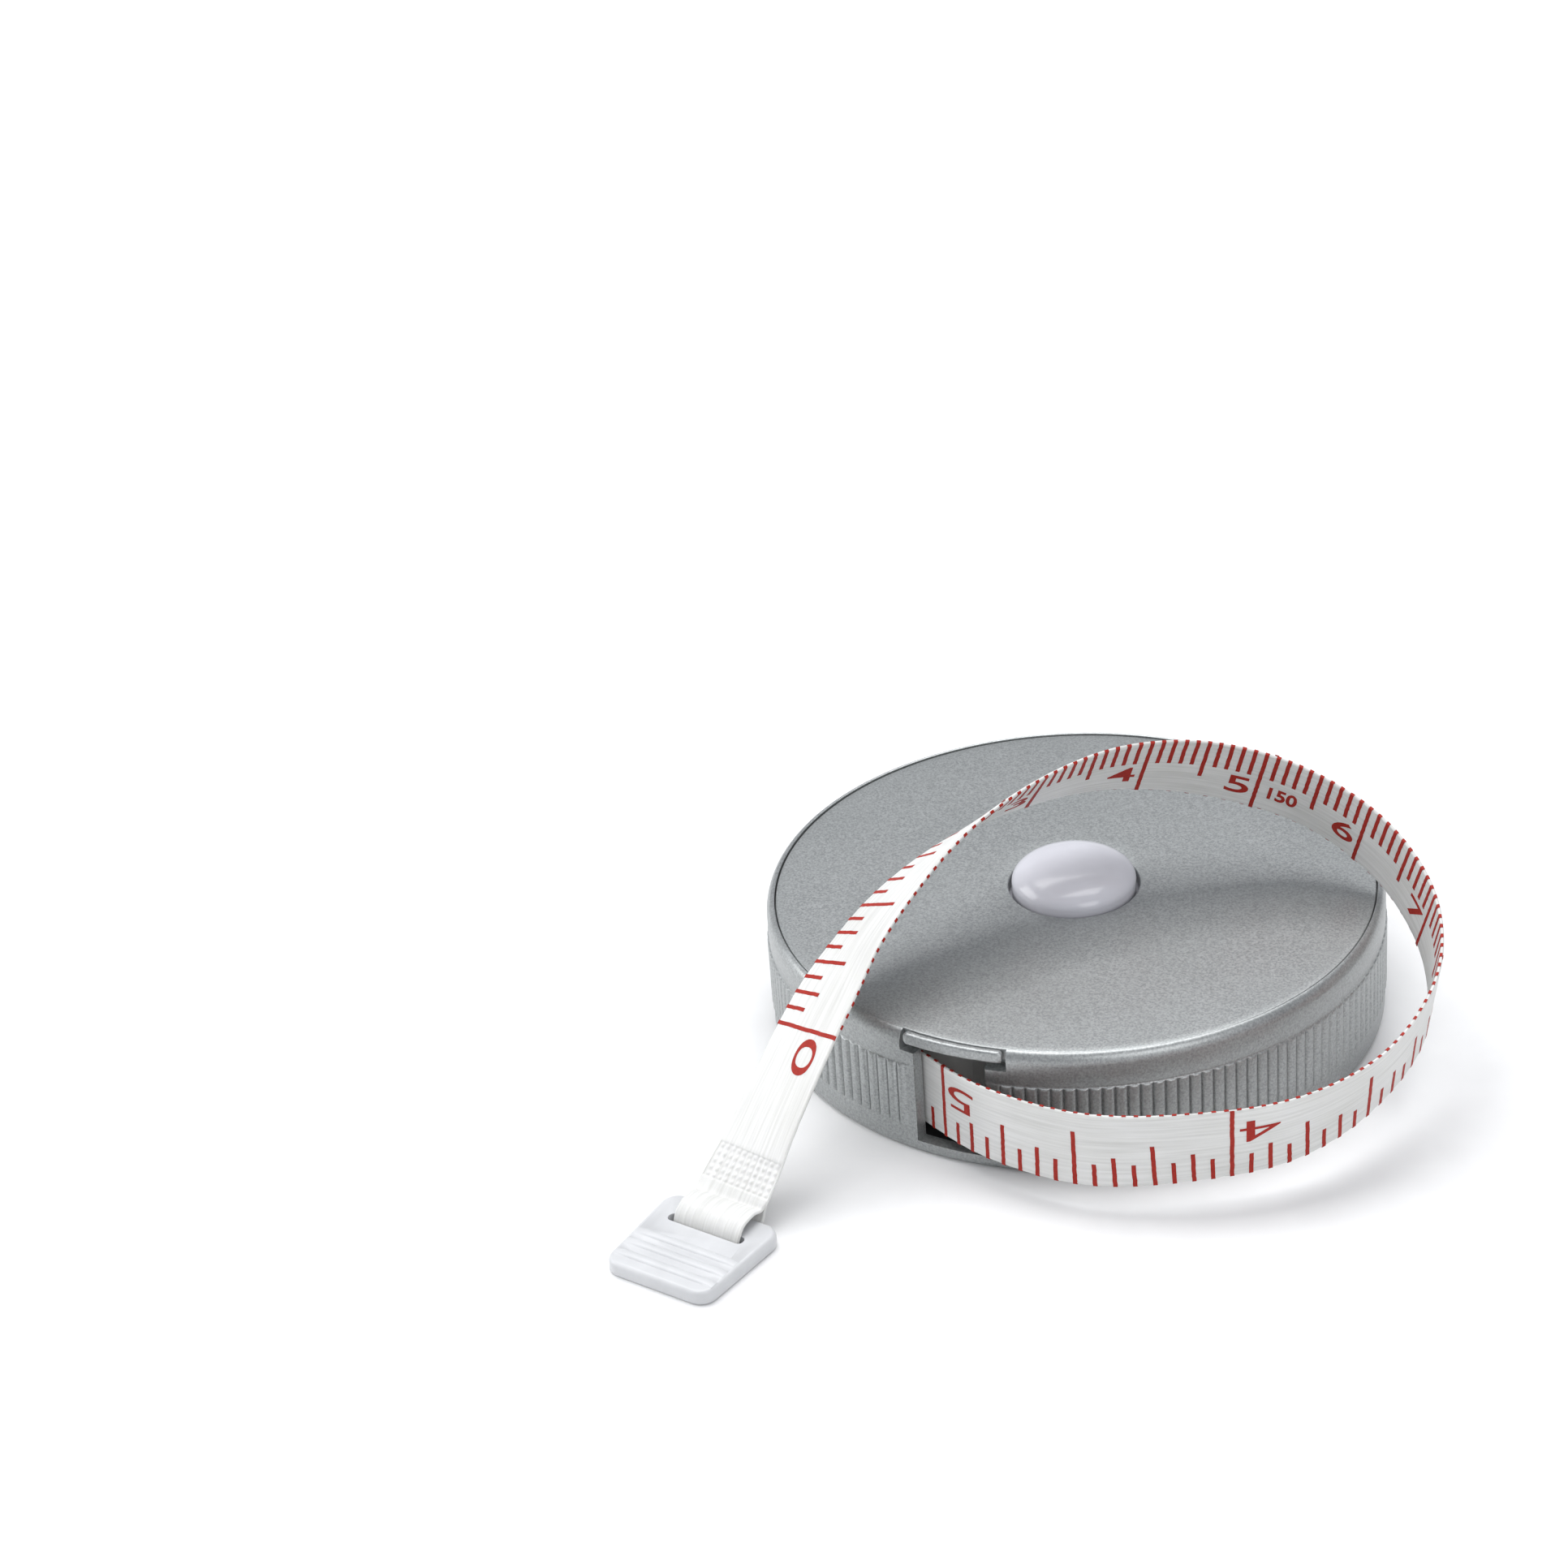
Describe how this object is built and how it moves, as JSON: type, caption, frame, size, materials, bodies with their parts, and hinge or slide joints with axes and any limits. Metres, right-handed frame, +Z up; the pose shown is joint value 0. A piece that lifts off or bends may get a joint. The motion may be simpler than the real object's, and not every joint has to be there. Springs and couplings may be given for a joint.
{
  "type": "pocket tape measure",
  "caption": "Round pocket tape measure: ribbed silver case with a push-button brake, a spring reel and a printed white tape that ends in a ridged pull tab.",
  "frame": {"origin": "centre of the case's flat underside, which rests on the table", "axes": "+Z up along the reel's axis, out through the push button; the tape's mouth faces -Y"},
  "size_m": [0.061, 0.0781, 0.0256],
  "materials": {
    "case_silver": "plastic painted with a satin silver metallic paint",
    "button_white": "glossy white moulded plastic",
    "tab_white": "glossy white moulded plastic",
    "tape_coated": "glass-fibre yarns coated with white vinyl, marks printed in red",
    "nylon": "natural moulded nylon",
    "spring_steel": "blued spring steel",
    "brass": "turned brass",
    "brake_rubber": "black rubber"
  },
  "bodies": {
    "case": {"case_body": "case_silver", "top_cover": "case_silver", "arbor_post": "nylon", "post_circlip": "spring_steel", "return_spring": "spring_steel", "power_spring": "spring_steel", "tape_inner_run": "tape_coated", "tape_free": "tape_coated", "tape_end_weld": "tape_coated"},
    "button": {"button_cap": "button_white", "button_stem": "spring_steel", "brake_plate": "spring_steel", "brake_ring": "brake_rubber"},
    "reel": {"reel_drum": "nylon", "reel_bush": "brass", "reel_lid": "nylon", "reel_peg_1": "nylon", "reel_peg_2": "nylon", "reel_peg_3": "nylon", "tape_anchor": "spring_steel", "tape_roll": "tape_coated"},
    "tab": {"end_tab": "tab_white", "tape_end_loop": "tape_coated"}
  },
  "joints": [
    {"name": "button_press", "type": "slide", "parent": "case", "child": "button", "axis": [0, 0, -1], "range_m": [0, 0.0008], "stiffness_N_per_m": 250, "springref_m": -0.002, "deforming": ["return_spring"]},
    {"name": "reel_spin", "type": "hinge", "parent": "case", "child": "reel", "pos_m": [0, 0, 0], "axis": [0, 0, 1], "range_deg": [-370, 3690]},
    {"name": "tab_swing", "type": "hinge", "parent": "case", "child": "tab", "pos_m": [-0.01396, -0.04005, 0.00205], "axis": [-0.9903, 0.1392, 0], "range_deg": [0, 80]}
  ]
}
